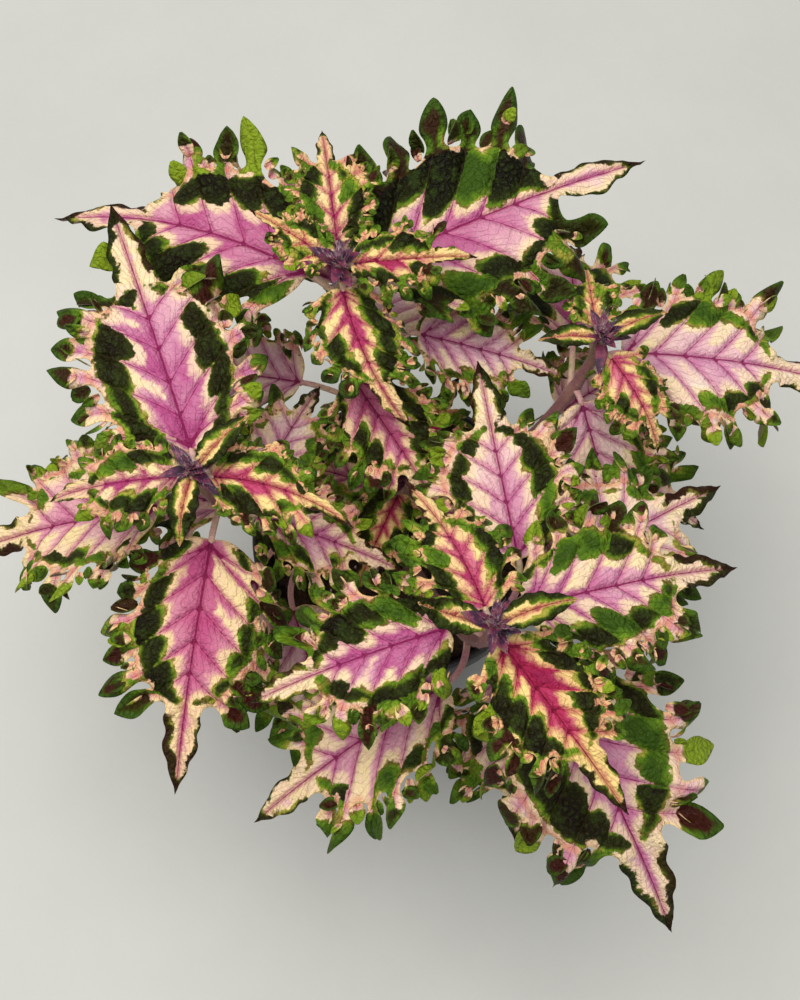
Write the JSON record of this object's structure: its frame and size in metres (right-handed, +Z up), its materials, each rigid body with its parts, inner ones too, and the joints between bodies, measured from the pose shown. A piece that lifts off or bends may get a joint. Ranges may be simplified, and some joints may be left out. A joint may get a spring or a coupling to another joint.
{
  "type": "potted coleus plant",
  "caption": "Bushy coleus with deeply cut, frilled pink, cream and green leaves on leafy square stems, rooted in potting soil in a plain tapered nursery pot with a stepped rim.",
  "frame": {"origin": "middle of the pot's flat underside, which the plant stands on", "axes": "+Z up along the pot's axis; -Y towards the side with the lowest, largest front leaf; +X to its right"},
  "size_m": [0.3483, 0.3069, 0.2697],
  "materials": {
    "foliage": "satin",
    "potting_soil": "rough",
    "pot_plastic": "matte"
  },
  "bodies": {
    "root": {"leafy_stem_back": "foliage", "leafy_stem_left": "foliage", "leafy_stem_front": "foliage", "leafy_stem_right": "foliage", "leafy_stem_centre": "foliage", "soil": "potting_soil", "pot": "pot_plastic"}
  },
  "joints": []
}
